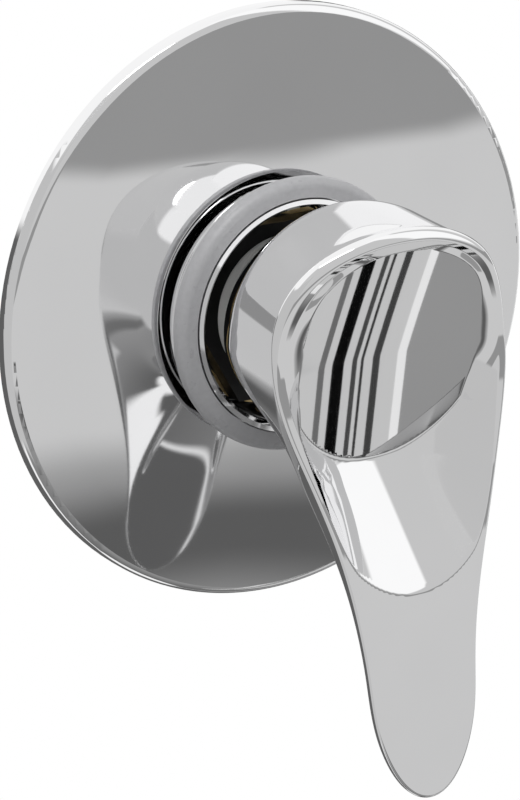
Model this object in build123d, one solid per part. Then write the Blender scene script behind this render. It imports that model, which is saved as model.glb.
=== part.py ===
from build123d import *
import math
import os

# Frame: the tap's axis is Y, the wall plane is y = 0, the front faces -Y and +Z is up.
# A depth is measured from the wall plane towards the user, so y = -depth.
# All sizes are in millimetres.

# Cover plate, pressed from sheet
PLATE_RADIUS = 75.0
PLATE_SHEET = 1.2
PLATE_SKIRT = 1.9
PLATE_SHOULDER = 2.4
PLATE_DOME_RADIUS = 700.0
PLATE_HOLE_ROLL = 2.4
PLATE_COLLAR = 1.5
PLATE_HOLE_CLEARANCE = 0.8

# Wall gasket and plate seal
GASKET_WIDTH = 6.0
SEAL_WIDTH = 6.5
SEAL_THICKNESS = 1.6
SEAL_GRIP_CLEARANCE = 0.05

# Sleeve and the grey ring on it
SLEEVE_RADIUS = 29.2
SLEEVE_WALL = 2.0
SLEEVE_FRONT = 15.9
SLEEVE_BACK = -16.0
SLEEVE_CHAMFER = 0.8
FLANGE_RADIUS = 33.9
FLANGE_BACK = 11.0
FLANGE_THICKNESS = 1.0
RING_RADIUS = 34.4
RING_HEIGHT = 3.6
RING_ROUNDING = 2.4
RING_BACK_ROUNDING = 0.4
RING_GAP = 0.35

# Mixer body in the wall
NECK_RADIUS = 25.4
NECK_FRONT = 2.0
BODY_BACK = -46.0
BODY_EDGE = 1.5
PORT_DEPTH = -31.0
PORT_REACH = 41.0
PORT_RADIUS = 13.0
PORT_HEX = 27.0
PORT_HEX_LENGTH = 12.0
PORT_THREAD_RADIUS = 9.3
PORT_THREAD_LENGTH = 16.0
PORT_CHAMFER = 1.2
GALLERY_RADIUS = 4.4
GALLERY_WALL = 1.2
CAVITY_FLOOR = -22.0
ORING_CLEARANCE = 0.05

# Cartridge
CARTRIDGE_RADIUS = 20.0
CARTRIDGE_CLEARANCE = 0.25
HOUSING_SHOULDER = -5.0
HOUSING_NECK_RADIUS = 18.6
HOUSING_FRONT = 6.0
HOUSING_TOP = 3.5
HOUSING_BORE = 16.6
HOUSING_FOOT_BORE = 17.8
HOUSING_FOOT = -7.0
NUT_RADIUS = 22.4
NUT_THREAD_CLEARANCE = 0.2
NUT_FRONT = 7.4
NUT_HEX = 44.0
NUT_SEAT_GAP = 0.3
SEAL_GAP = 1.6
SEAL_RING_RADIUS = 4.5
BASE_HEIGHT = 3.0
FIXED_DISC_HEIGHT = 3.6
FIXED_DISC_RADIUS = 17.2
MOVING_DISC_HEIGHT = 3.6
MOVING_DISC_RADIUS = 12.0
DISC_PORT_RADIUS = 3.2
INLET_X = 7.5
INLET_Z = -4.8
OUTLET_Z = 3.5
MIX_LENGTH = 18.0
MIX_HEIGHT = 10.0
MIX_DEPTH = 2.0
CARRIER_RADIUS = 11.6
CARRIER_HEIGHT = 6.0
CARRIER_FLOOR = 1.0
DISC_OFFSET = 4.0
SLIDE_CLEARANCE = 0.3

# Rotor, stem and pin
ROTOR_FLANGE_HEIGHT = 3.6
ROTOR_RADIUS = 12.0
ROTOR_CLEARANCE = 0.3
ROTOR_FRONT = 28.0
ROTOR_CHAMFER = 1.5
ROTOR_ORING_SECTION = 0.8
PIN_DEPTH = 22.0
PIN_RADIUS = 1.5
PIN_CLEARANCE = 0.05
LIFT_ANGLE = 18.0
STEM_SIDE = 9.0
STEM_FRONT = 43.0
STEM_SHOULDER = 13.0
STEM_ROD_RADIUS = 3.0
STEM_BALL_RADIUS = 3.5
STEM_CLEARANCE = 0.4

# Lever handle
HUB_RADIUS = 32.7
HUB_BACK_RADIUS = 23.6
HUB_BACK = 16.6
HUB_BACK_CHAMFER = 1.2
HUB_FLARE_TOP = 35.0
HUB_FLARE_BOTTOM = 60.0
HUB_WALL = 3.0
HUB_HOLLOW_RADIUS = 23.2
HUB_CEILING = 34.0
APEX_DEPTH = 69.5
SCOOP_DEPTH = 51.6
SCOOP_HEIGHT = 4.0
BOWL_DEPTH = 4.0
BOWL_RADIUS = 112.0
LEVER_DROP = 105.5
LEVER_DEPTH = 74.5
LEVER_ROOT_THICKNESS = 5.0
LEVER_TIP_THICKNESS = 2.6
SOCKET_CLEARANCE = 0.1
SOCKET_BOTTOM_GAP = 0.6
GRUB_DEPTH = 39.0
GRUB_RADIUS = 2.5
GRUB_LENGTH = 9.0
GRUB_SOCKET = 2.5
GRUB_CLEARANCE = 0.1
PLUG_RADIUS = 3.6
PLUG_HEIGHT = 4.0
PLUG_CLEARANCE = 0.1
PLUG_CROWN = 0.8
PLUG_EDGE = 0.7

# Front of the handle between the apex and the scoop: share of the height, share of the depth
BROW = (0.5, 0.26)
# Front of the handle under the scoop: share of the drop, share of the rise from scoop to tip
TONGUE_PROFILE = [(0.17, 0.18), (0.33, 0.53), (0.55, 0.73), (0.82, 0.83), (1.0, 1.0)]
# Half width of the tongue: share of the drop, share of the hub's radius
TONGUE_TAPER = [(0.23, 0.83), (0.47, 0.595), (0.70, 0.47), (0.86, 0.405)]
# Depth of the bowl at the apex, the brow, the scoop and the next points down
BOWL_SHARE = [-0.15, 0.75, 1.0, 0.85, 0.4, -0.3]

# How far a cutter runs past the face it opens
OVERRUN = 1.0


def turned(points):
    """Solid turned about the tap's axis from (radius, depth) points."""
    outline = make_face(Polyline([(r, -d) for r, d in points], close=True))
    return revolve(outline, Axis.Y)


def ring(inner, outer, back, front):
    """Plain ring between two radii and two depths."""
    return turned([(inner, back), (outer, back), (outer, front), (inner, front)])


def rod(radius, back, front, x=0.0, z=0.0):
    """Round bar along the axis between two depths, off the axis by x and z."""
    start = Plane(origin=(x, -back, z), z_dir=(0, -1, 0))
    return extrude(start * Circle(radius), front - back)


def rubber_ring(radius, section, depth, x=0.0, z=0.0):
    """Round-section rubber ring lying across the axis."""
    return Pos(x, -depth, z) * Rot(90, 0, 0) * Torus(radius, section)


def square_bar(side, back, front):
    """Square bar on the axis between two depths."""
    start = Plane(origin=(0, -back, 0), x_dir=(1, 0, 0), z_dir=(0, -1, 0))
    return extrude(start * Rectangle(side, side), front - back)


def side_prism(outline, half_width):
    """Prism across X from an outline in the (depth, height) plane."""
    side = Plane(origin=(half_width, 0, 0), x_dir=(0, -1, 0), z_dir=(-1, 0, 0))
    return extrude(side * outline, 2 * half_width, dir=(-1, 0, 0))


# Cover plate: the dome, the rounded shoulder and the rolled hole are tangent to each other
hole_radius = SLEEVE_RADIUS + PLATE_HOLE_CLEARANCE
edge_radius = (PLATE_RADIUS - PLATE_SHOULDER) / (1 - PLATE_SHOULDER / PLATE_DOME_RADIUS)
edge_slope = math.asin(edge_radius / PLATE_DOME_RADIUS)
edge_depth = PLATE_SKIRT + PLATE_SHOULDER * math.cos(edge_slope)
dome_centre = edge_depth - PLATE_DOME_RADIUS * math.cos(edge_slope)
roll_radius = (hole_radius + PLATE_HOLE_ROLL) / (1 - PLATE_HOLE_ROLL / PLATE_DOME_RADIUS)
roll_slope = math.asin(roll_radius / PLATE_DOME_RADIUS)
roll_depth = dome_centre + (PLATE_DOME_RADIUS - PLATE_HOLE_ROLL) * math.cos(roll_slope)


def plate_side(inset):
    """Points of one face of the plate's sheet, from the skirt's rim to the hole's collar.

    The inset is 0 for the face that shows and the sheet's thickness for the back.
    """
    shoulder = PLATE_SHOULDER - inset
    roll = PLATE_HOLE_ROLL - inset
    dome = PLATE_DOME_RADIUS - inset
    turn = (math.pi / 2 + edge_slope) / 2
    bend = (math.pi / 2 - roll_slope) / 2
    middle = (edge_slope + roll_slope) / 2
    shoulder_at = (PLATE_RADIUS - PLATE_SHOULDER, PLATE_SKIRT)
    roll_at = (hole_radius + PLATE_HOLE_ROLL, roll_depth)

    def about(centre, radius, angle):
        return (centre[0] + radius * math.sin(angle), centre[1] + radius * math.cos(angle))

    return {
        "rim": (PLATE_RADIUS - inset, 0.0),
        "skirt": (PLATE_RADIUS - inset, PLATE_SKIRT),
        "shoulder": about(shoulder_at, shoulder, turn),
        "edge": about(shoulder_at, shoulder, edge_slope),
        "crown": about((0.0, dome_centre), dome, middle),
        "roll": about(roll_at, roll, roll_slope),
        "bend": about(roll_at, roll, -bend + roll_slope / 2),
        "lip": (hole_radius + inset, roll_depth),
        "collar": (hole_radius + inset, roll_depth - PLATE_COLLAR),
    }


def plate_edges(side):
    """Skirt, shoulder, dome and rolled lip of one face of the sheet."""
    flat = {name: (r, -d) for name, (r, d) in side.items()}
    return [
        Line(flat["rim"], flat["skirt"]),
        ThreePointArc(flat["skirt"], flat["shoulder"], flat["edge"]),
        ThreePointArc(flat["edge"], flat["crown"], flat["roll"]),
        ThreePointArc(flat["roll"], flat["bend"], flat["lip"]),
        Line(flat["lip"], flat["collar"]),
    ]


def make_cover_plate():
    """Pressed plate: one sheet turned about the axis."""
    front = plate_side(0.0)
    back = plate_side(PLATE_SHEET)
    edges = plate_edges(front) + plate_edges(back)
    for name in ("rim", "collar"):
        edges.append(Line((front[name][0], -front[name][1]), (back[name][0], -back[name][1])))
    return revolve(make_face(Curve() + edges), Axis.Y)


def dome_back(radius):
    """Depth of the back of the dome at a radius."""
    return dome_centre + math.sqrt((PLATE_DOME_RADIUS - PLATE_SHEET) ** 2 - radius ** 2)


def make_wall_gasket():
    """Foam ring between the wall and the back of the plate's edge."""
    outer = PLATE_RADIUS - PLATE_SHOULDER
    return ring(outer - GASKET_WIDTH, outer, 0.0, dome_back(outer))


def make_plate_seal():
    """Rubber ring that grips the sleeve behind the rolled lip."""
    front = roll_depth - PLATE_COLLAR
    inner = SLEEVE_RADIUS + SEAL_GRIP_CLEARANCE
    return ring(inner, inner + SEAL_WIDTH, front - SEAL_THICKNESS, front)


# Sleeve and ring
sleeve_bore = SLEEVE_RADIUS - SLEEVE_WALL
ring_back = FLANGE_BACK + FLANGE_THICKNESS
ring_inner = SLEEVE_RADIUS + RING_GAP


def make_sleeve():
    """Turned sleeve with the flange that carries the grey ring."""
    return turned([
        (sleeve_bore, SLEEVE_BACK),
        (SLEEVE_RADIUS, SLEEVE_BACK),
        (SLEEVE_RADIUS, FLANGE_BACK),
        (FLANGE_RADIUS, FLANGE_BACK),
        (FLANGE_RADIUS, ring_back),
        (SLEEVE_RADIUS, ring_back),
        (SLEEVE_RADIUS, SLEEVE_FRONT),
        (sleeve_bore + SLEEVE_CHAMFER, SLEEVE_FRONT),
        (sleeve_bore, SLEEVE_FRONT - SLEEVE_CHAMFER),
    ])


def make_trim_ring():
    """Grey ring with a rounded outer edge, seated on the sleeve's flange."""
    plain = ring(ring_inner, RING_RADIUS, ring_back, ring_back + RING_HEIGHT)
    front_edge = plain.edges().group_by(Axis.Y)[0].sort_by(SortBy.RADIUS)[-1]
    rounded = fillet(front_edge, RING_ROUNDING)
    back_edge = rounded.edges().group_by(Axis.Y)[-1].sort_by(SortBy.RADIUS)[-1]
    return fillet(back_edge, RING_BACK_ROUNDING)


def make_sleeve_oring():
    """Rubber ring between the sleeve's bore and the body's neck."""
    section = (sleeve_bore - NECK_RADIUS) / 2 - ORING_CLEARANCE
    middle = (sleeve_bore + NECK_RADIUS) / 2
    return rubber_ring(middle, section, (SLEEVE_BACK + NECK_FRONT) / 2)


# Cartridge levels, stacked up from the floor of the body's cavity
base_back = CAVITY_FLOOR + SEAL_GAP
base_front = base_back + BASE_HEIGHT
fixed_back = base_front + SEAL_GAP
fixed_front = fixed_back + FIXED_DISC_HEIGHT
moving_front = fixed_front + MOVING_DISC_HEIGHT
carrier_front = moving_front + CARRIER_HEIGHT
housing_top_inside = HOUSING_FRONT - HOUSING_TOP
rotor_flange_front = housing_top_inside - SLIDE_CLEARANCE
rotor_flange_back = rotor_flange_front - ROTOR_FLANGE_HEIGHT
ball_depth = moving_front + CARRIER_FLOOR + STEM_BALL_RADIUS + STEM_CLEARANCE
swing = math.radians(LIFT_ANGLE)
PORTS = [(-INLET_X, INLET_Z), (INLET_X, INLET_Z), (0.0, OUTLET_Z)]


def port_holes(radius, back, front):
    """Three round holes along the axis: hot, cold and outlet."""
    return [rod(radius, back, front, x, z) for x, z in PORTS]


def make_cartridge_base():
    """Plastic foot of the cartridge with three ports."""
    foot = rod(HOUSING_FOOT_BORE - SLIDE_CLEARANCE, base_back, base_front)
    return foot - port_holes(DISC_PORT_RADIUS, base_back, base_front)


def make_seal_group(back):
    """Three rubber rings round the ports, in one gap of the stack."""
    section = SEAL_GAP / 2
    return Compound([rubber_ring(SEAL_RING_RADIUS, section, back + section, x, z) for x, z in PORTS])


def make_fixed_disc():
    """Ceramic disc with three ports."""
    disc = rod(FIXED_DISC_RADIUS, fixed_back, fixed_front)
    return disc - port_holes(DISC_PORT_RADIUS, fixed_back, fixed_front)


def make_moving_disc():
    """Ceramic disc with the mixing chamber in its back; it sits high when the tap is shut."""
    disc = rod(MOVING_DISC_RADIUS, fixed_front, moving_front, 0.0, DISC_OFFSET)
    start = Plane(origin=(0, -fixed_front, DISC_OFFSET), x_dir=(1, 0, 0), z_dir=(0, -1, 0))
    chamber = extrude(start * SlotOverall(MIX_LENGTH, MIX_HEIGHT), MIX_DEPTH)
    return disc - chamber


def make_disc_carrier():
    """Plastic carrier between the stem's ball and the moving disc."""
    body = rod(CARRIER_RADIUS, moving_front, carrier_front, 0.0, DISC_OFFSET)
    socket = rod(STEM_BALL_RADIUS + STEM_CLEARANCE, moving_front + CARRIER_FLOOR, carrier_front)
    return body - socket


def make_cartridge_housing():
    """Stepped plastic housing, open at the foot."""
    return turned([
        (HOUSING_FOOT_BORE, base_back),
        (CARTRIDGE_RADIUS, base_back),
        (CARTRIDGE_RADIUS, HOUSING_SHOULDER),
        (HOUSING_NECK_RADIUS, HOUSING_SHOULDER),
        (HOUSING_NECK_RADIUS, HOUSING_FRONT),
        (ROTOR_RADIUS + ROTOR_CLEARANCE, HOUSING_FRONT),
        (ROTOR_RADIUS + ROTOR_CLEARANCE, housing_top_inside),
        (HOUSING_BORE, housing_top_inside),
        (HOUSING_BORE, HOUSING_FOOT),
        (HOUSING_FOOT_BORE, HOUSING_FOOT),
    ])


def make_cartridge_nut():
    """Brass nut: a threaded skirt in the body's neck under a hexagon."""
    bore = HOUSING_NECK_RADIUS + CARTRIDGE_CLEARANCE
    skirt = ring(bore, NUT_RADIUS, HOUSING_SHOULDER, NECK_FRONT + NUT_SEAT_GAP)
    start = Plane(origin=(0, -(NECK_FRONT + NUT_SEAT_GAP), 0), x_dir=(1, 0, 0), z_dir=(0, -1, 0))
    hexagon = RegularPolygon(NUT_HEX / 2, 6, major_radius=False)
    head = extrude(start * hexagon, NUT_FRONT - NECK_FRONT - NUT_SEAT_GAP)
    return skirt + (head - rod(bore, NECK_FRONT, NUT_FRONT))


def make_rotor():
    """Plastic rotor: a flange in the housing and a tower with the stem's slot and pin."""
    flange_radius = HOUSING_BORE - SLIDE_CLEARANCE
    turn = turned([
        (0.0, rotor_flange_back),
        (flange_radius, rotor_flange_back),
        (flange_radius, rotor_flange_front),
        (ROTOR_RADIUS, rotor_flange_front),
        (ROTOR_RADIUS, ROTOR_FRONT - ROTOR_CHAMFER),
        (ROTOR_RADIUS - ROTOR_CHAMFER, ROTOR_FRONT),
        (0.0, ROTOR_FRONT),
    ])
    tail_half = STEM_BALL_RADIUS / math.cos(swing) + STEM_CLEARANCE
    square_half = STEM_SIDE / 2 / math.cos(swing) + STEM_CLEARANCE
    slot_back = rotor_flange_back - OVERRUN
    slot_front = ROTOR_FRONT + OVERRUN
    shoulder_room = STEM_SHOULDER - STEM_SIDE / 2 * math.sin(swing) - STEM_CLEARANCE
    drop = (PIN_DEPTH - slot_back) * math.tan(swing)
    shoulder_drop = (PIN_DEPTH - shoulder_room) * math.tan(swing)
    rise = (slot_front - PIN_DEPTH) * math.tan(swing)
    slot = make_face(Polyline([
        (slot_back, -drop - tail_half),
        (shoulder_room, -shoulder_drop - tail_half),
        (shoulder_room, -shoulder_drop - square_half),
        (PIN_DEPTH, -square_half),
        (slot_front, -square_half),
        (slot_front, rise + square_half),
        (PIN_DEPTH, square_half),
        (shoulder_room, square_half),
        (shoulder_room, tail_half),
        (slot_back, tail_half),
    ], close=True))
    pin_bore = Pos(0, -PIN_DEPTH, 0) * Rot(0, 90, 0) * Cylinder(PIN_RADIUS, 2 * ROTOR_RADIUS)
    return turn - side_prism(slot, STEM_SIDE / 2 + STEM_CLEARANCE) - pin_bore


def make_rotor_oring():
    """Rubber ring round the rotor's tower, at the mouth of the housing."""
    middle = ROTOR_RADIUS + ROTOR_CLEARANCE + ROTOR_ORING_SECTION
    return rubber_ring(middle, ROTOR_ORING_SECTION, HOUSING_FRONT + ROTOR_ORING_SECTION)


def make_stem():
    """Metal stem: square head for the lever, round tail and a ball in the disc carrier."""
    head = square_bar(STEM_SIDE, STEM_SHOULDER, STEM_FRONT)
    tail = rod(STEM_ROD_RADIUS, ball_depth, STEM_SHOULDER)
    ball = Pos(0, -ball_depth, 0) * Sphere(STEM_BALL_RADIUS)
    bore = Pos(0, -PIN_DEPTH, 0) * Rot(0, 90, 0) * Cylinder(PIN_RADIUS + PIN_CLEARANCE, 2 * STEM_SIDE)
    return head + tail + ball - bore


def make_stem_pin():
    """Steel pin across the rotor, on which the stem tilts."""
    length = 2 * (ROTOR_RADIUS - ROTOR_CHAMFER)
    return Pos(0, -PIN_DEPTH, 0) * Rot(0, 90, 0) * Cylinder(PIN_RADIUS, length)


def make_mixer_body():
    """Brass casting with a neck, two inlets, one outlet and drilled galleries."""
    core = rod(NECK_RADIUS, BODY_BACK, NECK_FRONT)
    core = chamfer(core.edges().sort_by(Axis.Y)[-1], BODY_EDGE)
    stubs = []
    bores = []
    gallery_end = GALLERY_RADIUS + GALLERY_WALL
    for turn_y, end in ((-90, gallery_end), (90, gallery_end), (0, GALLERY_WALL)):
        place = Pos(0, -PORT_DEPTH, 0) * Rot(0, turn_y, 0)
        stub = Cylinder(PORT_RADIUS, PORT_REACH, align=(Align.CENTER, Align.CENTER, Align.MIN))
        collar = Pos(0, 0, PORT_REACH - PORT_HEX_LENGTH) * extrude(
            RegularPolygon(PORT_HEX / 2, 6, major_radius=False), PORT_HEX_LENGTH)
        thread = Pos(0, 0, PORT_REACH - PORT_THREAD_LENGTH) * Cylinder(
            PORT_THREAD_RADIUS, PORT_THREAD_LENGTH, align=(Align.CENTER, Align.CENTER, Align.MIN))
        mouth = Pos(0, 0, PORT_REACH - PORT_CHAMFER) * Cone(
            PORT_THREAD_RADIUS, PORT_THREAD_RADIUS + PORT_CHAMFER, PORT_CHAMFER,
            align=(Align.CENTER, Align.CENTER, Align.MIN))
        gallery = Pos(0, 0, end) * Cylinder(
            GALLERY_RADIUS, PORT_REACH - PORT_THREAD_LENGTH - end, align=(Align.CENTER, Align.CENTER, Align.MIN))
        stubs += [place * stub, place * collar]
        bores += [place * thread, place * mouth, place * gallery]
    casting = core + stubs
    cavity = rod(CARTRIDGE_RADIUS + CARTRIDGE_CLEARANCE, CAVITY_FLOOR, NECK_FRONT)
    nut_bore = rod(NUT_RADIUS + NUT_THREAD_CLEARANCE, HOUSING_SHOULDER - CARTRIDGE_CLEARANCE, NECK_FRONT)
    return casting - bores - [cavity, nut_bore] - port_holes(DISC_PORT_RADIUS, PORT_DEPTH, CAVITY_FLOOR)


# Lever handle, in the (depth, height) plane
flare_start = HUB_BACK + HUB_BACK_CHAMFER
flare_middle = (HUB_FLARE_TOP + HUB_FLARE_BOTTOM) / 2
flare_lean = (HUB_FLARE_BOTTOM - HUB_FLARE_TOP) / 2
flare_slope = (HUB_RADIUS - HUB_BACK_RADIUS) / (HUB_FLARE_BOTTOM - flare_start)
plug_seat = HUB_BACK_RADIUS + flare_slope * (GRUB_DEPTH - flare_start)
apex_height = HUB_RADIUS + OVERRUN
front_points = [
    (APEX_DEPTH, apex_height),
    (
        SCOOP_DEPTH + BROW[1] * (APEX_DEPTH - SCOOP_DEPTH),
        SCOOP_HEIGHT + BROW[0] * (apex_height - SCOOP_HEIGHT),
    ),
    (SCOOP_DEPTH, SCOOP_HEIGHT),
]
for drop_share, rise_share in TONGUE_PROFILE:
    front_points.append((
        SCOOP_DEPTH + rise_share * (LEVER_DEPTH - SCOOP_DEPTH),
        -drop_share * LEVER_DROP,
    ))


def front_curve(setbacks):
    """Curve of the handle's front from the apex down, set back by an amount at each point."""
    return Spline([(d - back, h) for (d, h), back in zip(front_points, setbacks)])


def lever_section(root, tip):
    """Side view of the handle's front skin, from one thickness at the apex to another at the tip."""
    last = len(front_points) - 1
    front = front_curve([0.0] * len(front_points))
    back = front_curve([root + (tip - root) * i / last for i in range(last + 1)])
    return make_face(Curve() + [front, Line(front @ 1, back @ 1), back, Line(back @ 0, front @ 0)])


def lever_outline():
    """Front view of the handle: the hub's round top running into a tapered, round-ended tongue."""
    side = [(width * HUB_RADIUS, -drop * LEVER_DROP) for drop, width in TONGUE_TAPER]
    right = Spline([(HUB_RADIUS, 0), *side, (0, -LEVER_DROP)], tangents=[(0, -1), (-1, 0)])
    left = mirror(right, Plane.YZ)
    head = ThreePointArc((HUB_RADIUS, 0), (0, HUB_RADIUS), (-HUB_RADIUS, 0))
    return make_face(Curve() + [right, left, head])


def lever_bowl():
    """Cutter for the hollow in the scoop, turned about an upright axis in front of the lever."""
    centre = SCOOP_DEPTH - BOWL_DEPTH + BOWL_RADIUS
    curve = front_curve([share * BOWL_DEPTH for share in BOWL_SHARE])
    far = Polyline([curve @ 1, (centre, (curve @ 1).Y), (centre, (curve @ 0).Y), curve @ 0])
    middle = Plane(origin=(0, 0, 0), x_dir=(0, -1, 0), z_dir=(-1, 0, 0))
    return revolve(middle * make_face(Curve() + [curve, far]), Axis((0, -centre, 0), (0, 0, 1)))


def make_hub():
    """Flared hub: a round back that opens out to a cylinder, sooner at the top than underneath."""
    lean = Plane(
        origin=(0, -flare_middle, 0),
        x_dir=(1, 0, 0),
        z_dir=(0, -HUB_RADIUS, flare_lean),
    )
    rim = lean * Ellipse(HUB_RADIUS, math.hypot(HUB_RADIUS, flare_lean))
    start = Plane(origin=(0, -flare_start, 0), x_dir=(1, 0, 0), z_dir=(0, -1, 0))
    flare = loft([start * Circle(HUB_BACK_RADIUS), rim], ruled=True)
    back = turned([
        (0.0, HUB_BACK),
        (HUB_BACK_RADIUS - HUB_BACK_CHAMFER, HUB_BACK),
        (HUB_BACK_RADIUS, flare_start),
        (0.0, flare_start),
    ])
    barrel = extrude(rim, LEVER_DEPTH, dir=(0, -1, 0))
    room = lever_section(LEVER_DEPTH, LEVER_DEPTH)
    return (flare + back + barrel) & side_prism(room, HUB_RADIUS + OVERRUN)


def hub_hollow():
    """Room in the back of the hub for the cartridge's tower."""
    mouth = HUB_BACK_RADIUS - HUB_WALL
    return turned([
        (0.0, HUB_BACK - OVERRUN),
        (mouth, HUB_BACK - OVERRUN),
        (mouth, HUB_BACK),
        (HUB_HOLLOW_RADIUS, HUB_CEILING),
        (0.0, HUB_CEILING),
    ])


def upright(radius, top, bottom):
    """Round bar under the axis at the grub screw's depth, between two drops."""
    start = Plane(origin=(0, -GRUB_DEPTH, -top), z_dir=(0, 0, -1))
    return extrude(start * Circle(radius), bottom - top)


def make_lever_handle():
    """Hub and tongue as one casting, hollow behind, with the stem's socket and the grub screw's hole."""
    start = Plane(origin=(0, 0, 0), x_dir=(1, 0, 0), z_dir=(0, -1, 0))
    outline = extrude(start * lever_outline(), LEVER_DEPTH + OVERRUN)
    skin = lever_section(LEVER_ROOT_THICKNESS, LEVER_TIP_THICKNESS)
    tongue = outline & side_prism(skin, HUB_RADIUS + OVERRUN)
    socket_side = STEM_SIDE + 2 * SOCKET_CLEARANCE
    socket = square_bar(socket_side, HUB_CEILING - OVERRUN, STEM_FRONT + SOCKET_BOTTOM_GAP)
    screw_hole = upright(GRUB_RADIUS, 0.0, plug_seat)
    plug_hole = upright(PLUG_RADIUS + PLUG_CLEARANCE, plug_seat - PLUG_HEIGHT, plug_seat + PLUG_HEIGHT)
    return make_hub() + tongue - lever_bowl() - hub_hollow() - socket - screw_hole - plug_hole


def make_grub_screw():
    """Hexagon-socket grub screw that clamps the stem."""
    top = STEM_SIDE / 2
    shank = upright(GRUB_RADIUS - GRUB_CLEARANCE, top, top + GRUB_LENGTH)
    start = Plane(origin=(0, -GRUB_DEPTH, -(top + GRUB_LENGTH)), z_dir=(0, 0, 1))
    socket = extrude(start * RegularPolygon(GRUB_SOCKET / 2, 6, major_radius=False), GRUB_SOCKET)
    return shank - socket


def make_index_plug():
    """Small plug that hides the grub screw."""
    body = upright(PLUG_RADIUS, plug_seat - PLUG_HEIGHT, plug_seat + PLUG_CROWN)
    return fillet(body.edges().sort_by(Axis.Z)[0], PLUG_EDGE)


NODES = {
    "cover_plate": make_cover_plate(),
    "wall_gasket": make_wall_gasket(),
    "plate_seal": make_plate_seal(),
    "sleeve": make_sleeve(),
    "trim_ring": make_trim_ring(),
    "sleeve_oring": make_sleeve_oring(),
    "mixer_body": make_mixer_body(),
    "cartridge_nut": make_cartridge_nut(),
    "cartridge_housing": make_cartridge_housing(),
    "cartridge_base": make_cartridge_base(),
    "base_seals": make_seal_group(CAVITY_FLOOR),
    "disc_seals": make_seal_group(base_front),
    "fixed_disc": make_fixed_disc(),
    "moving_disc": make_moving_disc(),
    "disc_carrier": make_disc_carrier(),
    "rotor": make_rotor(),
    "rotor_oring": make_rotor_oring(),
    "stem": make_stem(),
    "stem_pin": make_stem_pin(),
    "lever_handle": make_lever_handle(),
    "grub_screw": make_grub_screw(),
    "index_plug": make_index_plug(),
}

os.makedirs("parts", exist_ok=True)
for name, shape in NODES.items():
    export_step(shape, f"parts/{name}.step")
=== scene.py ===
import logging
import math
from dataclasses import dataclass, field
from enum import Enum
from typing import Any, TypeVar

import bmesh
import bpy
import numpy as np
from mathutils import Matrix, Vector


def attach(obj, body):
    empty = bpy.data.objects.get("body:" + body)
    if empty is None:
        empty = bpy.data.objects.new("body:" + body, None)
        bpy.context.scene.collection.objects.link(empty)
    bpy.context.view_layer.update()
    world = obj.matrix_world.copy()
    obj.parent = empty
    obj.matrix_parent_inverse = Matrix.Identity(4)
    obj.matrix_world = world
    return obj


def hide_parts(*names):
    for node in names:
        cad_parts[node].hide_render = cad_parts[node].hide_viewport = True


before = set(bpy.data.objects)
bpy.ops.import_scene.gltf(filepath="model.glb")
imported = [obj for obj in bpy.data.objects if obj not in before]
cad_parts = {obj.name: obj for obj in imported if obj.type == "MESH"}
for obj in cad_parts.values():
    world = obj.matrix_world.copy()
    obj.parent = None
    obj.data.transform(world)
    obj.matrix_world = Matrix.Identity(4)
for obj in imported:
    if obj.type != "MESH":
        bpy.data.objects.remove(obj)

Colour = tuple[float, float, float]
Point = tuple[float, float]
Place = tuple[float, float, float]
Blend = TypeVar("Blend", float, np.ndarray)

MM = 0.001
WHITE = (1.0, 1.0, 1.0, 1.0)
log = logging.getLogger("shower_tap")

# The factor, the two colours and the result on Blender's mix node
COLOUR_MIX = (0, 6, 7)
COLOUR_RESULT = 2

# The range that most of a noise lies in
NOISE_LOW = 0.3
NOISE_HIGH = 0.7

# Patches of colour, smears of gloss and fine cast grain, against the scale of the grain
PATCH_SCALE = 0.12
SMEAR_SCALE = 0.05
FINE_SCALE = 6.0
FINE_HEIGHT = 0.35
DRAWN_STRETCH = (1.0, 0.04, 1.0)

# Metres within which corners are joined and slivers are taken out
WELD = 2.0e-6
SLIVER = 1.0e-7

# Millimetres that a run of a path counts as at least
LEAST_RUN = 1.0e-6


def ease(value: float, start: float, end: float) -> float:
    """Return a smooth step from 0 at the start to 1 at the end."""
    share = min(1.0, max(0.0, (value - start) / (end - start)))
    return share * share * (3.0 - 2.0 * share)


def lerp(a: Blend, b: Blend, share: float) -> Blend:
    """Return the number or point at a share of the way between two."""
    return a + (b - a) * share


def soft_least(a: float, b: float, merge: float) -> float:
    """Return the smaller of two values, with a smooth passage where they are close."""
    near = max(0.0, merge - abs(a - b)) / merge
    return min(a, b) - near * near * merge / 4.0


def direction(azimuth: float, elevation: float) -> Vector:
    """Find a direction as seen from the tap.

    Args:
        azimuth: Degrees to the right of straight in front.
        elevation: Degrees above the level.

    Returns:
        A vector of length 1.
    """
    turn, rise = math.radians(azimuth), math.radians(elevation)
    flat = math.cos(rise)
    return Vector((math.sin(turn) * flat, -math.cos(turn) * flat, math.sin(rise)))


def put(name: str, data: bpy.types.ID) -> bpy.types.Object:
    """Put a new object in the scene.

    Args:
        name: The object's name.
        data: Its mesh, camera or light.

    Returns:
        The new object.
    """
    made = bpy.data.objects.new(name, data)
    bpy.context.scene.collection.objects.link(made)
    return made


class Grain(Enum):
    """Small-scale texture that a way of making leaves on a surface."""

    POLISHED = "polished"
    MOULDED = "moulded"
    CAST = "cast"
    TURNED = "turned"
    DRAWN = "drawn"
    FOAMED = "foamed"
    LAPPED = "lapped"


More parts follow.
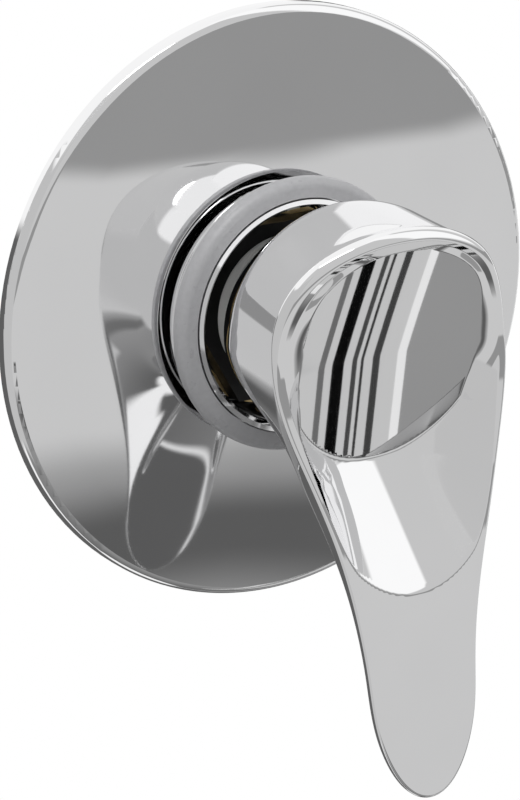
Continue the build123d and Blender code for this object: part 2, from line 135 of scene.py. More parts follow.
class NodeDesk:
    """Bench on which one shader tree is wired."""

    def __init__(self, tree: bpy.types.NodeTree) -> None:
        """Take over a tree and clear it.

        Args:
            tree: The node tree of a material or of the world.
        """
        self.tree = tree
        tree.nodes.clear()

    def add(
        self, kind: str, settings: dict[str, Any] | None = None, **sockets: Any
    ) -> bpy.types.Node:
        """Add a node, set its properties and fill its inputs.

        Args:
            kind: Blender's class name of the node.
            settings: Property values by name.
            **sockets: Constants or output sockets by input name, with _ for a blank.

        Returns:
            The new node.
        """
        node = self.tree.nodes.new(kind)
        for name, value in (settings or {}).items():
            setattr(node, name, value)
        for name, value in sockets.items():
            self.fill(node.inputs[name.replace("_", " ")], value)
        return node

    def fill(self, socket: bpy.types.NodeSocket, value: Any) -> None:
        """Link a socket to another one, or set its constant.

        Args:
            socket: The input to fill.
            value: An output socket or a constant.
        """
        if isinstance(value, bpy.types.NodeSocket):
            self.tree.links.new(value, socket)
        else:
            socket.default_value = value

    def math(self, operation: str, first: Any, second: Any = 0.0) -> bpy.types.NodeSocket:
        """Add a Math node.

        Args:
            operation: Blender's name of the sum.
            first: First operand, a socket or a number.
            second: Second operand, a socket or a number.

        Returns:
            The result's socket.
        """
        node = self.add("ShaderNodeMath", {"operation": operation})
        self.fill(node.inputs[0], first)
        self.fill(node.inputs[1], second)
        return node.outputs[0]

    def noise(self, place: Any, scale: float, detail: float = 3.0) -> bpy.types.NodeSocket:
        """Add a noise texture.

        Args:
            place: Socket with the coordinates.
            scale: Features per metre.
            detail: Octaves of finer noise.

        Returns:
            The noise value's socket.
        """
        node = self.add("ShaderNodeTexNoise", Vector=place, Scale=scale, Detail=detail)
        return node.outputs["Fac"]

    def spread(self, value: Any, low: float, high: float) -> bpy.types.NodeSocket:
        """Map the middle of a noise onto a range.

        Args:
            value: Socket with a value around one half.
            low: Result at the noise's low end.
            high: Result at the noise's high end.

        Returns:
            The result's socket.
        """
        node = self.add("ShaderNodeMapRange", Value=value, From_Min=NOISE_LOW, From_Max=NOISE_HIGH,
                        To_Min=low, To_Max=high)
        return node.outputs["Result"]

    def blend(self, factor: Any, low: Colour, high: Colour) -> bpy.types.NodeSocket:
        """Mix two colours.

        Args:
            factor: Socket from 0 to 1.
            low: Colour at 0.
            high: Colour at 1.

        Returns:
            The mixed colour's socket.
        """
        node = self.add("ShaderNodeMix", {"data_type": "RGBA"})
        for place, value in zip(COLOUR_MIX, (factor, (*low, 1.0), (*high, 1.0))):
            self.fill(node.inputs[place], value)
        return node.outputs[COLOUR_RESULT]

    def mix(
        self, factor: Any, low: bpy.types.Node, high: bpy.types.Node
    ) -> bpy.types.NodeSocket:
        """Mix two shaders.

        Args:
            factor: Socket from 0 to 1.
            low: Shader at 0.
            high: Shader at 1.

        Returns:
            The mixed shader's socket.
        """
        node = self.add("ShaderNodeMixShader", Fac=factor)
        self.fill(node.inputs[1], low.outputs[0])
        self.fill(node.inputs[2], high.outputs[0])
        return node.outputs[0]


def new_material(name: str) -> tuple[bpy.types.Material, NodeDesk]:
    """Start a material.

    Args:
        name: The material's name.

    Returns:
        The material and the bench with its empty tree.
    """
    made = bpy.data.materials.new(name)
    made.use_nodes = True
    return made, NodeDesk(made.node_tree)


@dataclass(frozen=True)
class Finish:
    """One finish: its colour, its gloss and the texture that its making leaves."""

    name: str
    colour: Colour
    roughness: float
    metallic: float
    grain: Grain
    scale: float
    depth: float
    mottle: float = 0.06
    smear: float = 0.25

    @property
    def slot(self) -> str:
        """Return the slot that the finish goes in, which has its name."""
        return self.name

    def shades(self) -> tuple[Colour, Colour]:
        """Find the colours of the mottling.

        Returns:
            The darker and the lighter colour.
        """
        low = tuple(max(0.0, c * (1.0 - self.mottle)) for c in self.colour)
        high = tuple(min(1.0, c * (1.0 + self.mottle)) for c in self.colour)
        return low, high

    def relief(self, desk: NodeDesk, place: bpy.types.NodeSocket) -> bpy.types.NodeSocket:
        """Wire the height pattern of the grain.

        Args:
            desk: Bench with the material's tree.
            place: Socket with object coordinates.

        Returns:
            Socket with a height from 0 to 1.
        """
        if self.grain is Grain.TURNED:
            parts = desk.add("ShaderNodeSeparateXYZ", Vector=place).outputs
            flat = desk.add("ShaderNodeCombineXYZ", X=parts["X"], Y=parts["Z"])
            radius = desk.add("ShaderNodeVectorMath", {"operation": "LENGTH"})
            desk.fill(radius.inputs[0], flat.outputs[0])
            lane = desk.add("ShaderNodeCombineXYZ", X=radius.outputs["Value"], Y=parts["Y"])
            return desk.noise(lane.outputs[0], self.scale)
        if self.grain is Grain.DRAWN:
            stretch = desk.add("ShaderNodeMapping", Vector=place, Scale=DRAWN_STRETCH)
            return desk.noise(stretch.outputs[0], self.scale)
        if self.grain is Grain.FOAMED:
            cells = desk.add("ShaderNodeTexVoronoi", Vector=place, Scale=self.scale)
            return cells.outputs["Distance"]
        if self.grain is Grain.CAST:
            coarse = desk.noise(place, self.scale, detail=4.0)
            fine = desk.noise(place, self.scale * FINE_SCALE, detail=2.0)
            return desk.math("ADD", coarse, desk.math("MULTIPLY", fine, FINE_HEIGHT))
        return desk.noise(place, self.scale)

    def material(self) -> bpy.types.Material:
        """Build the material.

        Returns:
            A node material with mottled colour, smeared gloss and a fine relief.
        """
        made, desk = new_material(self.name)
        place = desk.add("ShaderNodeTexCoord").outputs["Object"]
        low, high = self.shades()
        patches = desk.noise(place, self.scale * PATCH_SCALE)
        smears = desk.noise(place, self.scale * SMEAR_SCALE, detail=4.0)
        glossy, dull = (self.roughness * (1.0 + s) for s in (-self.smear, self.smear))
        height = self.relief(desk, place)
        bump = desk.add("ShaderNodeBump", Strength=1.0, Distance=self.depth, Height=height)
        shader = desk.add(
            "ShaderNodeBsdfPrincipled",
            Base_Color=desk.blend(desk.spread(patches, 0.0, 1.0), low, high),
            Roughness=desk.spread(smears, glossy, dull),
            Metallic=self.metallic,
            Normal=bump.outputs["Normal"],
        )
        desk.add("ShaderNodeOutputMaterial", Surface=shader.outputs[0])
        return made


CHROME: Colour = (0.90, 0.90, 0.905)

# Colour, roughness, metal, grain, grain features per metre, grain depth in metres, mottling
PLATE_CHROME = Finish("plate_chrome", CHROME, 0.035, 1.0, Grain.POLISHED, 220.0, 2.0e-7, 0.015)
SLEEVE_CHROME = Finish("sleeve_chrome", CHROME, 0.05, 1.0, Grain.TURNED, 2500.0, 2.0e-7, 0.015)
LEVER_CHROME = Finish("lever_chrome", CHROME, 0.018, 1.0, Grain.POLISHED, 220.0, 2.0e-7, 0.015)
TRIM_GREY = Finish("trim_grey", (0.36, 0.36, 0.37), 0.34, 0.0, Grain.MOULDED, 6000.0, 4.0e-6, 0.04)
GASKET_FOAM = Finish("gasket_foam", (0.06, 0.06, 0.06), 0.9, 0.0, Grain.FOAMED,
                     1800.0, 1.5e-4, 0.25)
SEAL_RUBBER = Finish("seal_rubber", (0.02, 0.02, 0.02), 0.5, 0.0, Grain.MOULDED,
                     2500.0, 1.0e-5, 0.2)
BODY_BRASS = Finish("body_brass", (0.72, 0.55, 0.28), 0.36, 1.0, Grain.CAST, 420.0, 1.2e-4, 0.14)
# The nut's near-black colour is painted shade: it stands in for the shade in the dark gap between
# the sleeve and the lever
NUT_PAINTED_SHADE = Finish("nut_black", (0.03, 0.03, 0.03), 0.4, 0.6, Grain.TURNED, 3000.0, 6.0e-6, 0.1)
HOUSING_PLASTIC = Finish("housing_plastic", (0.82, 0.82, 0.80), 0.4, 0.0, Grain.MOULDED,
                         3000.0, 1.0e-5, 0.03)
BASE_PLASTIC = Finish("base_plastic", (0.20, 0.30, 0.42), 0.4, 0.0, Grain.MOULDED, 3000.0, 1.0e-5)
ROTOR_PLASTIC = Finish("rotor_plastic", (0.03, 0.03, 0.032), 0.42, 0.0, Grain.MOULDED,
                       3000.0, 1.0e-5, 0.1)
DISC_CERAMIC = Finish("disc_ceramic", (0.90, 0.88, 0.84), 0.15, 0.0, Grain.LAPPED,
                      1500.0, 1.0e-6, 0.02)
STEM_STEEL = Finish("stem_steel", (0.62, 0.62, 0.63), 0.28, 1.0, Grain.DRAWN, 2500.0, 4.0e-6)
SCREW_STEEL = Finish("screw_steel", (0.30, 0.30, 0.31), 0.38, 1.0, Grain.DRAWN, 2500.0, 4.0e-6)
PLUG_PLASTIC = Finish("plug_plastic", (0.60, 0.60, 0.61), 0.3, 0.0, Grain.MOULDED, 5000.0, 3.0e-6)


@dataclass
class SubAssembly:
    """Group of CAD nodes that belong together, each with its finish."""

    title: str
    finishes: dict[str, Finish]

    def stock(self, finish: Finish, shelf: dict[str, bpy.types.Material]) -> bpy.types.Material:
        """Fetch the material of a finish, and make it where it is new.

        Args:
            finish: The finish that is wanted.
            shelf: Materials already made, by finish name; a new one is added.

        Returns:
            The finish's material.
        """
        if finish.name not in shelf:
            shelf[finish.name] = finish.material()
        return shelf[finish.name]

    def dress(self, shelf: dict[str, bpy.types.Material]) -> list[bpy.types.Object]:
        """Give each CAD node its finish.

        Args:
            shelf: Materials already made, by finish name; new ones are added.

        Returns:
            The dressed objects.
        """
        dressed = []
        for node, finish in self.finishes.items():
            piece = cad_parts[node]
            piece.data.materials.clear()
            piece.data.materials.append(self.stock(finish, shelf))
            dressed.append(piece)
        return dressed


@dataclass
class CoverGroup(SubAssembly):
    """Cover plate with its gasket and seal."""

    title: str = "cover"
    finishes: dict[str, Finish] = field(default_factory=lambda: {
        "cover_plate": PLATE_CHROME,
        "wall_gasket": GASKET_FOAM,
        "plate_seal": SEAL_RUBBER,
    })


@dataclass
class SleeveGroup(SubAssembly):
    """Sleeve with the grey ring on it."""

    title: str = "sleeve"
    finishes: dict[str, Finish] = field(default_factory=lambda: {
        "sleeve": SLEEVE_CHROME,
        "trim_ring": TRIM_GREY,
        "sleeve_oring": SEAL_RUBBER,
    })


@dataclass
class BodyGroup(SubAssembly):
    """Mixer body in the wall and the nut in its neck."""

    title: str = "body"
    finishes: dict[str, Finish] = field(default_factory=lambda: {
        "mixer_body": BODY_BRASS,
        # the nut's near-black finish is painted shade for the dark gap around the sleeve
        "cartridge_nut": NUT_PAINTED_SHADE,
    })


@dataclass
class CartridgeGroup(SubAssembly):
    """Cartridge: housing, base, discs, seals and rotor."""

    title: str = "cartridge"
    finishes: dict[str, Finish] = field(default_factory=lambda: {
        "cartridge_housing": HOUSING_PLASTIC,
        "cartridge_base": BASE_PLASTIC,
        "base_seals": SEAL_RUBBER,
        "disc_seals": SEAL_RUBBER,
        "fixed_disc": DISC_CERAMIC,
        "moving_disc": DISC_CERAMIC,
        "disc_carrier": ROTOR_PLASTIC,
        "rotor": ROTOR_PLASTIC,
        "rotor_oring": SEAL_RUBBER,
        "stem_pin": STEM_STEEL,
    })


class CubicLine:
    """Smooth curve through values at rising stations, with natural or given end slopes."""

    def __init__(
        self, stations: list[float], values: list[float], slopes: Point | None = None
    ) -> None:
        """Solve for the curve's slopes at the stations.

        Args:
            stations: Rising positions along the curve.
            values: Value at each station.
            slopes: Slope at the first and the last station, or None for natural ends.
        """
        self.x = np.array(stations, float)
        self.y = np.array(values, float)
        count = len(stations)
        step = np.diff(self.x)
        rise = np.diff(self.y) / step
        rows = np.zeros((count, count))
        right = np.zeros(count)
        for i in range(1, count - 1):
            rows[i, i - 1:i + 2] = step[i], 2.0 * (step[i - 1] + step[i]), step[i - 1]
            right[i] = 3.0 * (step[i] * rise[i - 1] + step[i - 1] * rise[i])
        if slopes is None:
            rows[0, :2] = 2.0, 1.0
            right[0] = 3.0 * rise[0]
            rows[-1, -2:] = 1.0, 2.0
            right[-1] = 3.0 * rise[-1]
        else:
            rows[0, 0] = rows[-1, -1] = 1.0
            right[0], right[-1] = slopes
        self.slope = np.linalg.solve(rows, right)

    def at(self, where: float) -> float:
        """Find the curve's value at a position.

        Args:
            where: Position along the curve.

        Returns:
            The value there.
        """
        i = int(np.clip(np.searchsorted(self.x, where) - 1, 0, len(self.x) - 2))
        step = self.x[i + 1] - self.x[i]
        t = (where - self.x[i]) / step
        low = self.y[i] * (1 + 2 * t) * (1 - t) ** 2 + self.slope[i] * step * t * (1 - t) ** 2
        high = self.y[i + 1] * t * t * (3 - 2 * t) + self.slope[i + 1] * step * t * t * (t - 1)
        return float(low + high)


@dataclass
class LeverShape:
    """Chrome casting of the lever, in millimetres: x across, z up, depth out from the wall.

    A corner of the back is (radius, depth), a point of the front line (z, depth) and a point of
    the brow or the taper (x, z). A name that ends in turn is the sine of the angle above the
    level, below it for the belly, at which a change round the hub is complete, or at which it
    starts and ends.
    """

    hub_radius: float = 32.7
    back_radius: float = 23.6
    back_depth: float = 16.6
    back_chamfer: float = 1.2
    mouth_radius: float = 20.6
    mouth_chamfer: Point = (0.2, 0.4)
    ceiling_radius: float = 23.2
    ceiling_depth: float = 34.0
    ceiling_draft: float = 0.1
    ceiling_chamfer: float = 0.6
    crown: Point = (34.0, 35.0)
    waist: Point = (28.4, 27.0)
    waist_turn: float = 0.9
    belly: Point = (29.4, 44.6)
    belly_round: float = 2.5
    belly_turn: Point = (0.5, 0.95)
    knee_share: float = 0.5
    knee_reach: float = 60.0
    knee_thickness: float = 5.0
    knee_blend: float = 24.0
    front: tuple[Point, ...] = (
        (-105.5, 74.5), (-86.0, 71.7), (-62.0, 68.2), (-38.0, 64.7), (-22.0, 60.6),
        (-6.6, 56.6), (3.7, 55.2), (20.0, 57.2), (27.0, 59.2), (31.6, 61.2),
    )
    brow: tuple[Point, ...] = (
        (32.7, 0.0), (32.3, 8.8), (27.3, 21.0), (15.5, 29.0), (0.0, 31.6),
    )
    taper: tuple[Point, ...] = (
        (32.7, 0.0), (27.14, -24.3), (19.46, -49.6), (15.37, -73.9), (13.0, -90.7), (0.0, -105.4),
    )
    edge_thickness: tuple[Point, ...] = (
        (-105.5, 2.0), (-80.0, 2.0), (-56.0, 2.4), (-42.0, 4.0), (-28.0, 5.2), (-14.0, 3.2),
        (0.0, 1.4),
    )
    land: float = 0.5
    land_turn: float = 0.4
    bowl_depth: float = 52.4
    bowl_lean: float = 0.215
    bowl_radius: float = 200.0
    bowl_reach: float = 27.5
    bowl_middle: float = 1.0
    brow_reach: float = 30.0
    brow_flank: float = 1.6
    brow_turn: float = 0.7
    brow_rise: float = 480.0
    brow_round: float = 2.8
    brow_round_turn: Point = (-0.2, 0.5)
    brow_undercut: Point = (0.3, 4.0)
    brow_undercut_turn: float = 0.6
    toe_length: float = 23.0
    toe_power: int = 4
    toe_merge: float = 6.0
    flank: float = 5.0
    flank_bend: float = 0.02
    edge_round: float = 0.8
    least_edge: float = 0.3
    heel_round: float = 1.2
    flare_round: float = 11.0
    most_round: float = 0.45
    spine_rise: float = 0.6
    spine_foot: float = -70.0
    spine_fall: float = 0.7
    arc_steps: int = 160
    side_steps: int = 150
    front_steps: int = 90
    front_crowding: float = 1.35
    run_steps: int = 6
    round_steps: int = 8
    flare_steps: int = 8

    def __post_init__(self) -> None:
        """Fit the curves of the front and the edge, and measure the outline all round."""
        self.front_line = CubicLine(*map(list, zip(*self.front)))
        self.edge_line = CubicLine(*map(list, zip(*self.edge_thickness)))
        rims = sorted((math.atan2(-p[0], p[1]), float(np.linalg.norm(p))) for p in self.outline())
        self.rim_turns = [turn for turn, _ in rims]
        self.rim_reaches = [reach for _, reach in rims]

    def trace(self, corners: tuple[Point, ...], rise: float, steps: int) -> list[np.ndarray]:
        """Trace a smooth line that starts upright and ends level.

        Args:
            corners: Points (x, z) that the line passes.
            rise: 1 for a line that starts upwards, -1 for one that starts downwards.
            steps: Number of runs that the line is cut into.

        Returns:
            Points along the line, both ends included.
        """
        run = [0.0]
        for (x0, z0), (x1, z1) in zip(corners, corners[1:]):
            run.append(run[-1] + math.hypot(x1 - x0, z1 - z0))
        across = CubicLine(run, [x for x, _ in corners], (0.0, -1.0))
        upright = CubicLine(run, [z for _, z in corners], (rise, 0.0))
        stations = [run[-1] * i / steps for i in range(steps + 1)]
        return [np.array((across.at(s), upright.at(s))) for s in stations]

    def outline(self) -> list[np.ndarray]:
        """Lay the loop of the front view.

        Returns:
            Points (x, z) from the right over the top and round the tip.
        """
        mirror = np.array((-1.0, 1.0))
        arc = self.trace(self.brow, 1.0, self.arc_steps // 2)
        side = self.trace(self.taper, -1.0, self.side_steps)
        over = arc + [p * mirror for p in reversed(arc[:-1])]
        under = [p * mirror for p in side[1:]] + side[-2:0:-1]
        return over + under

    def rounding(self, x: float, z: float) -> float:
        """Return the radius of the rounded rim towards a place, larger along the brow."""
        sine = z / max(math.hypot(x, z), self.bowl_middle)
        return lerp(self.edge_round, self.brow_round, ease(sine, *self.brow_round_turn))

    def depth(self, x: float, z: float) -> float:
        """Find the depth of the front: the bowl's floor, its flank or the lever's face.

        Args:
            x: Place across.
            z: Height.

        Returns:
            Depth out from the wall.
        """
        floor = self.bowl_depth + self.bowl_lean * max(z, -self.bowl_reach)
        floor += x * x / self.bowl_radius / 2.0
        floor += max(0.0, z) ** 2 / self.brow_rise / 2.0
        reach = math.hypot(x, z)
        if reach < self.bowl_middle:
            return floor
        sine = z / reach
        rim = float(np.interp(math.atan2(-x, z), self.rim_turns, self.rim_reaches))
        top = rim - self.rounding(x, z) - self.land * ease(sine, 0.0, self.land_turn)
        toe = self.hub_radius - self.edge_round
        toe += self.toe_length * max(0.0, -sine) ** self.toe_power
        end = soft_least(top, toe, self.toe_merge)
        over = ease(sine, 0.0, self.brow_turn)
        flank = lerp(self.flank, self.brow_flank, over)
        start = min(end - flank, lerp(self.bowl_reach, self.brow_reach, over))
        share = min(1.0, max(0.0, (reach - start) / (end - start)))
        share = lerp(share, ease(share, 0.0, 1.0), self.flank_bend)
        return lerp(floor, self.front_line.at(z), share)

    def inward(self, loop: list[np.ndarray], i: int) -> np.ndarray:
        """Find the way in from the outline.

        Args:
            loop: Outline points.
            i: Number of the point to start from.

        Returns:
            The loop's normal towards its inside.
        """
        along = loop[(i + 1) % len(loop)] - loop[i - 1]
        normal = np.array((-along[1], along[0]))
        return normal / np.linalg.norm(normal)

    def spine(self, z: float) -> float:
        """Find the height at which a line in from the edge meets the middle.

        Args:
            z: Height at the edge.

        Returns:
            Height in the middle.
        """
        if z >= 0.0:
            return self.spine_rise * z
        foot = self.spine_foot
        return z if z > foot else foot + self.spine_fall * (z - foot)

    def front_rings(self, loop: list[np.ndarray]) -> list[list[Place]]:
        """Build the rings of the front, from the middle line out to the rounded rim.

        Args:
            loop: Outline points.

        Returns:
            Rings of (x, depth, z) points, each as long as the outline.
        """
        steps = self.front_steps
        shares = [1.0 - (1.0 - i / steps) ** self.front_crowding for i in range(steps + 1)]
        columns = []
        for i, rim in enumerate(loop):
            normal = self.inward(loop, i)
            radius = self.rounding(float(rim[0]), float(rim[1]))
            lip = rim + normal * radius
            middle = np.array((0.0, self.spine(lip[1])))
            flat = [lerp(middle, lip, share) for share in shares]
            column = [(p[0], self.depth(p[0], p[1]), p[1]) for p in flat]
            top = column[-1][1]
            for step in range(1, self.round_steps + 1):
                bend = math.pi / 2 * step / self.round_steps
                out = lip - normal * radius * math.sin(bend)
                column.append((out[0], top - radius * (1.0 - math.cos(bend)), out[1]))
            columns.append(column)
        return [list(ring) for ring in zip(*columns)]

    def side_path(self, rim: np.ndarray, lip: float) -> list[np.ndarray]:
        """Lay the path from the rim round the lever's back to the hub's back edge.

        Args:
            rim: Outline point (x, z).
            lip: Depth at which the rounded front ends there.

        Returns:
            Points (radius, depth) in the plane through the tap's axis and the rim.
        """
        reach = float(np.linalg.norm(rim))
        z = float(rim[1])
        sine = z / reach
        heel = np.array((reach, self.front_line.at(z) - self.edge_line.at(min(z, 0.0))))
        heel -= np.array(self.brow_undercut) * ease(sine, 0.0, self.brow_undercut_turn)
        heel[1] = min(heel[1], lip - self.least_edge)
        target = np.array(self.crown if z >= 0.0 else self.belly)
        corner = lerp(np.array(self.waist), target, ease(abs(sine), 0.0, self.waist_turn))
        underside = self.front_line.at(self.knee_reach * sine) - self.knee_thickness
        far = ease(reach, self.knee_reach, self.knee_reach + self.knee_blend)
        knee = lerp(heel, corner, self.knee_share)
        knee = lerp(knee, np.array((self.knee_reach, underside)), far)
        start = np.array((reach, lip))
        end = np.array((self.back_radius, self.back_depth + self.back_chamfer))
        flare = lerp(self.flare_round, self.belly_round, ease(-sine, *self.belly_turn))
        rounds = (self.heel_round, self.flare_round, flare)
        return self.rounded([start, heel, knee, corner, end], rounds)

    def rounded(self, corners: list[np.ndarray], rounds: tuple[float, ...]) -> list[np.ndarray]:
        """Round the inner corners of a path.

        Args:
            corners: The corners of the path, both ends included.
            rounds: How far the rounding reaches from each inner corner.

        Returns:
            Points along the rounded path, without its first.
        """
        runs = [max(float(np.linalg.norm(b - a)), LEAST_RUN) for a, b in zip(corners, corners[1:])]
        path = []
        last = corners[0]
        for i, reach in enumerate(rounds):
            back, peak, ahead = corners[i:i + 3]
            reach = min(reach, self.most_round * runs[i], self.most_round * runs[i + 1])
            before = lerp(peak, back, reach / runs[i])
            after = lerp(peak, ahead, reach / runs[i + 1])
            path += [lerp(last, before, s / self.run_steps) for s in range(1, self.run_steps)]
            path += self.bend(before, peak, after)
            last = after
        steps = self.flare_steps
        return path + [lerp(last, corners[-1], s / steps) for s in range(1, steps + 1)]

    def bend(self, first: np.ndarray, peak: np.ndarray, last: np.ndarray) -> list[np.ndarray]:
        """Return points of the curve that rounds one corner."""
        shares = [s / self.round_steps for s in range(self.round_steps + 1)]
        return [lerp(lerp(first, peak, s), lerp(peak, last, s), s) for s in shares]

    def back_rings(self, loop: list[np.ndarray], lips: list[float]) -> list[list[Place]]:
        """Build the rings of the sides, the hub's flare and the hollow behind.

        Args:
            loop: Outline points.
            lips: Depth at which the rounded front ends at each point.

        Returns:
            Rings of (x, depth, z) points, from the rim to the hollow's ceiling.
        """
        mouth_in, mouth_up = self.mouth_chamfer
        wall = self.ceiling_radius - self.ceiling_draft
        inside = [
            (self.back_radius - self.back_chamfer, self.back_depth),
            (self.mouth_radius, self.back_depth),
            (self.mouth_radius + mouth_in, self.back_depth + mouth_up),
            (wall, self.ceiling_depth - self.ceiling_chamfer),
            (wall - self.ceiling_chamfer, self.ceiling_depth),
            (0.0, self.ceiling_depth),
        ]
        columns = []
        for rim, lip in zip(loop, lips):
            ray = rim / np.linalg.norm(rim)
            path = [(p[0], p[1]) for p in self.side_path(rim, lip)] + inside
            columns.append([(r * ray[0], d, r * ray[1]) for r, d in path])
        return [list(ring) for ring in zip(*columns)]

    def build(self, name: str) -> bpy.types.Object:
        """Make the closed casting.

        Args:
            name: Name of the piece.

        Returns:
            The new object.
        """
        loop = self.outline()
        front = self.front_rings(loop)
        rings = front + self.back_rings(loop, [d for _, d, _ in front[-1]])
        count = len(loop)
        points = [(x * MM, -d * MM, z * MM) for ring in rings for x, d, z in ring]
        quads = []
        for r in range(len(rings) - 1):
            here, there = r * count, (r + 1) * count
            for i in range(count):
                j = (i + 1) % count
                quads.append((here + i, there + i, there + j, here + j))
        mesh = bpy.data.meshes.new(name)
        mesh.from_pydata(points, [], quads)
        work = bmesh.new()
        work.from_mesh(mesh)
        bmesh.ops.remove_doubles(work, verts=work.verts, dist=WELD)
        bmesh.ops.dissolve_degenerate(work, edges=work.edges, dist=SLIVER)
        bmesh.ops.recalc_face_normals(work, faces=work.faces)
        work.to_mesh(mesh)
        work.free()
        mesh.polygons.foreach_set("use_smooth", [True] * len(mesh.polygons))
        return put(name, mesh)


@dataclass
class LeverGroup(SubAssembly):
    """Lever handle on the stem, with its grub screw and plug."""

    title: str = "lever"
    finishes: dict[str, Finish] = field(default_factory=lambda: {
        "stem": STEM_STEEL,
        "grub_screw": SCREW_STEEL,
        "index_plug": PLUG_PLASTIC,
    })
    shape: LeverShape = field(default_factory=LeverShape)

    def dress(self, shelf: dict[str, bpy.types.Material]) -> list[bpy.types.Object]:
        """Dress the small parts and cast the handle.

        Args:
            shelf: Materials already made, by finish name; new ones are added.

        Returns:
            The dressed objects.
        """
        dressed = super().dress(shelf)
        handle = self.shape.build("lever_casting")
        handle.data.materials.append(self.stock(LEVER_CHROME, shelf))
        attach(handle, "lever")
        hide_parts("lever_handle")
        return [*dressed, handle]


@dataclass
class Card:
    """Softly edged studio card on a sphere round the tap, seen only in its polish."""

    name: str
    azimuth: Point
    elevation: Point
    tone: float
    foot_tone: float | None = None
    soft: float = 0.06
    distance: float = 1.0
    steps: int = 24
    chart: str = "card"

    def place(self, u: float, v: float) -> Vector:
        """Return the point of the card at two shares of its width and height."""
        return direction(lerp(*self.azimuth, u), lerp(*self.elevation, v)) * self.distance

    def mesh(self) -> bpy.types.Mesh:
        """Build the curved card with its texture coordinates.

        Returns:
            A mesh whose UV map runs from 0 to 1 both ways.
        """
        n = self.steps
        row = n + 1
        grid = [(i / n, j / n) for j in range(row) for i in range(row)]
        quads = [(j * row + i, j * row + i + 1, (j + 1) * row + i + 1, (j + 1) * row + i)
                 for j in range(n) for i in range(n)]
        made = bpy.data.meshes.new(self.name)
        made.from_pydata([self.place(u, v) for u, v in grid], [], quads)
        chart = made.uv_layers.new(name=self.chart)
        for loop in made.loops:
            chart.data[loop.index].uv = grid[loop.vertex_index]
        return made

    def material(self) -> bpy.types.Material:
        """Build a glow that fades out at the card's edges.

        Returns:
            The card's material.
        """
        made, desk = new_material(self.name)
        chart = desk.add("ShaderNodeUVMap", {"uv_map": self.chart})
        shares = desk.add("ShaderNodeSeparateXYZ", Vector=chart.outputs[0]).outputs
        cover: Any = 1.0
        for axis in ("X", "Y"):
            near = desk.math("MINIMUM", shares[axis], desk.math("SUBTRACT", 1.0, shares[axis]))
            ramp = desk.add("ShaderNodeMapRange", {"interpolation_type": "SMOOTHSTEP"},
                            Value=near, From_Max=self.soft)
            cover = desk.math("MULTIPLY", cover, ramp.outputs["Result"])
        foot = self.tone if self.foot_tone is None else self.foot_tone
        shade = desk.blend(shares["Y"], (foot, foot, foot), (self.tone, self.tone, self.tone))
        clear = desk.add("ShaderNodeBsdfTransparent")
        glow = desk.add("ShaderNodeEmission", Color=shade, Strength=1.0)
        desk.add("ShaderNodeOutputMaterial", Surface=desk.mix(cover, clear, glow))
        return made

    def build(self) -> bpy.types.Object:
        """Put the card in the scene, out of the camera's sight.

        Returns:
            The card's object.
        """
        mesh = self.mesh()
        mesh.materials.append(self.material())
        card = put(self.name, mesh)
        card.visible_camera = False
        card.visible_shadow = False
        return card


# Degrees that the cards in front of the tap and the low strips beside it span
FRONT_SPAN = (-80.0, 110.0)
STRIP_SPAN = (-62.0, -34.0)

# Left edge and width in degrees, and tone, of the narrow strips that the bowl mirrors
STRIPS = (
    (45.2, 1.7, 0.003),
    (43.4, 0.7, 0.06),
    (42.5, 0.4, 0.03),
    (40.3, 1.0, 0.05),
    (47.9, 0.9, 0.15),
    (36.8, 1.2, 0.85),
)


def studio_cards() -> list[Card]:
    """List the cards.

    Returns:
        The broad cards in front, at the left and behind, then the small ones at the right.
    """
    cards = [
        Card("card_upper", FRONT_SPAN, (-3.0, 66.0), 0.60, distance=1.05),
        Card("card_grey", FRONT_SPAN, (-7.5, 4.0), 0.31, distance=1.04),
        Card("card_left", (-130.0, -34.0), (-46.0, 40.0), 0.56),
        Card("card_low", FRONT_SPAN, (-31.0, -5.5), 0.62, distance=1.03),
        Card("card_floor", (-90.0, 120.0), (-82.0, -23.0), 0.36, foot_tone=0.12, distance=1.02),
        Card("card_dusk", FRONT_SPAN, (-35.5, -26.0), 0.11, soft=0.4, distance=1.01),
        Card("card_behind", (115.0, 250.0), (-80.0, 12.0), 0.12, distance=1.02),
        Card("card_white", (33.0, 84.0), (6.0, 78.0), 1.05, soft=0.08),
        Card("card_side", (37.0, 75.0), STRIP_SPAN, 0.58, soft=0.03, distance=0.99),
    ]
    for i, (left, width, tone) in enumerate(STRIPS):
        span = (left, left + width)
        cards.append(Card(f"card_line_{i}", span, STRIP_SPAN, tone, soft=0.03, distance=0.97))
    return cards


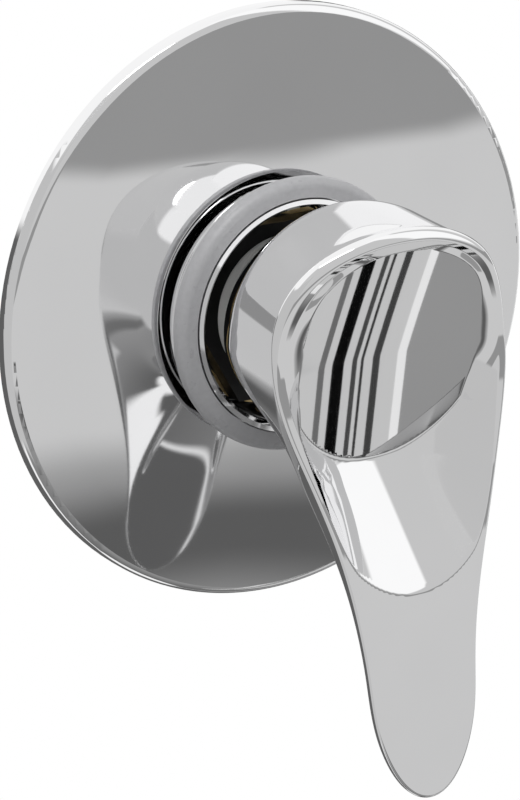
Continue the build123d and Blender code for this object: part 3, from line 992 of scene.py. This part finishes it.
@dataclass
class Studio:
    """Camera, light, floor and surroundings of the picture, in metres and degrees."""

    camera_right: Place = (0.8464, -0.5326, 0.0)
    camera_up: Place = (0.1646, 0.2616, 0.9511)
    camera_back: Place = (-0.5065, -0.8050, 0.3090)
    camera_distance: float = 0.86498
    camera_slide: Point = (-0.001804, -0.02447)
    camera_lens: float = 157.5
    camera_clip: Point = (0.01, 50.0)
    floor_drop: float = 1.1
    floor_side: float = 7.0
    floor_colour: Colour = (0.86, 0.86, 0.86)
    fill_strength: float = 0.75
    lamp_azimuth: float = -35.0
    lamp_elevation: float = 55.0
    lamp_distance: float = 1.6
    lamp_side: float = 0.9
    lamp_power: float = 14.0
    cards: list[Card] = field(default_factory=studio_cards)

    def camera(self) -> bpy.types.Object:
        """Set the camera at the photograph's angle.

        Returns:
            The camera object.
        """
        data = bpy.data.cameras.new("camera")
        data.lens = self.camera_lens
        data.clip_start, data.clip_end = self.camera_clip
        right, up, back = map(Vector, (self.camera_right, self.camera_up, self.camera_back))
        turn = Matrix((right, up, back)).transposed().to_4x4()
        across, upwards = self.camera_slide
        spot = back * self.camera_distance + right * across + up * upwards
        made = put("camera", data)
        made.matrix_world = Matrix.Translation(spot) @ turn
        bpy.context.scene.camera = made
        return made

    def seen(self, desk: NodeDesk) -> bpy.types.NodeSocket:
        """Wire the test for rays that show the background.

        Args:
            desk: Bench with the tree.

        Returns:
            Socket that is 1 for camera, glossy and transmission rays.
        """
        path = desk.add("ShaderNodeLightPath").outputs
        either = desk.math("MAXIMUM", path["Is Camera Ray"], path["Is Glossy Ray"])
        return desk.math("MAXIMUM", either, path["Is Transmission Ray"])

    def world(self) -> bpy.types.World:
        """Make the even soft light, white where it shows.

        Returns:
            The world.
        """
        made = bpy.data.worlds.new("studio")
        made.use_nodes = True
        desk = NodeDesk(made.node_tree)
        fill = desk.add("ShaderNodeBackground", Color=WHITE, Strength=self.fill_strength)
        white = desk.add("ShaderNodeBackground", Color=WHITE, Strength=1.0)
        desk.add("ShaderNodeOutputWorld", Surface=desk.mix(self.seen(desk), fill, white))
        bpy.context.scene.world = made
        return made

    def floor(self) -> bpy.types.Object:
        """Lay the pale floor far under the tap.

        Returns:
            The floor's object.
        """
        half = self.floor_side / 2
        corners = [(-half, -half), (half, -half), (half, half), (-half, half)]
        mesh = bpy.data.meshes.new("floor")
        mesh.from_pydata([(x, y, -self.floor_drop) for x, y in corners], [], [(0, 1, 2, 3)])
        made, desk = new_material("floor_pale")
        matt = desk.add("ShaderNodeBsdfDiffuse", Color=(*self.floor_colour, 1.0))
        white = desk.add("ShaderNodeEmission", Color=WHITE, Strength=1.0)
        desk.add("ShaderNodeOutputMaterial", Surface=desk.mix(self.seen(desk), matt, white))
        mesh.materials.append(made)
        floor = put("floor", mesh)
        return floor

    def lamp(self) -> bpy.types.Object:
        """Hang the soft lamp that faces the tap.

        Returns:
            The lamp's object.
        """
        data = bpy.data.lights.new("lamp_key", "AREA")
        data.size = self.lamp_side
        data.energy = self.lamp_power
        made = put("lamp_key", data)
        away = direction(self.lamp_azimuth, self.lamp_elevation)
        made.location = away * self.lamp_distance
        made.rotation_mode = "QUATERNION"
        made.rotation_quaternion = away.to_track_quat("Z", "Y")
        return made

    def build(self) -> None:
        """Set up the whole studio."""
        self.camera()
        self.world()
        self.floor()
        self.lamp()
        for card in self.cards:
            card.build()
        bpy.context.scene.view_settings.view_transform = "Standard"


def main() -> None:
    """Dress the groups in order, set the studio and report each piece."""
    logging.basicConfig(level=logging.INFO, format="%(name)s: %(message)s")
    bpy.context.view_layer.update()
    shelf: dict[str, bpy.types.Material] = {}
    for group in (CoverGroup(), SleeveGroup(), BodyGroup(), CartridgeGroup(), LeverGroup()):
        for piece in group.dress(shelf):
            log.info("%s: %s, %d faces", group.title, piece.name, len(piece.data.polygons))
    Studio().build()


if __name__ == "__main__":
    main()
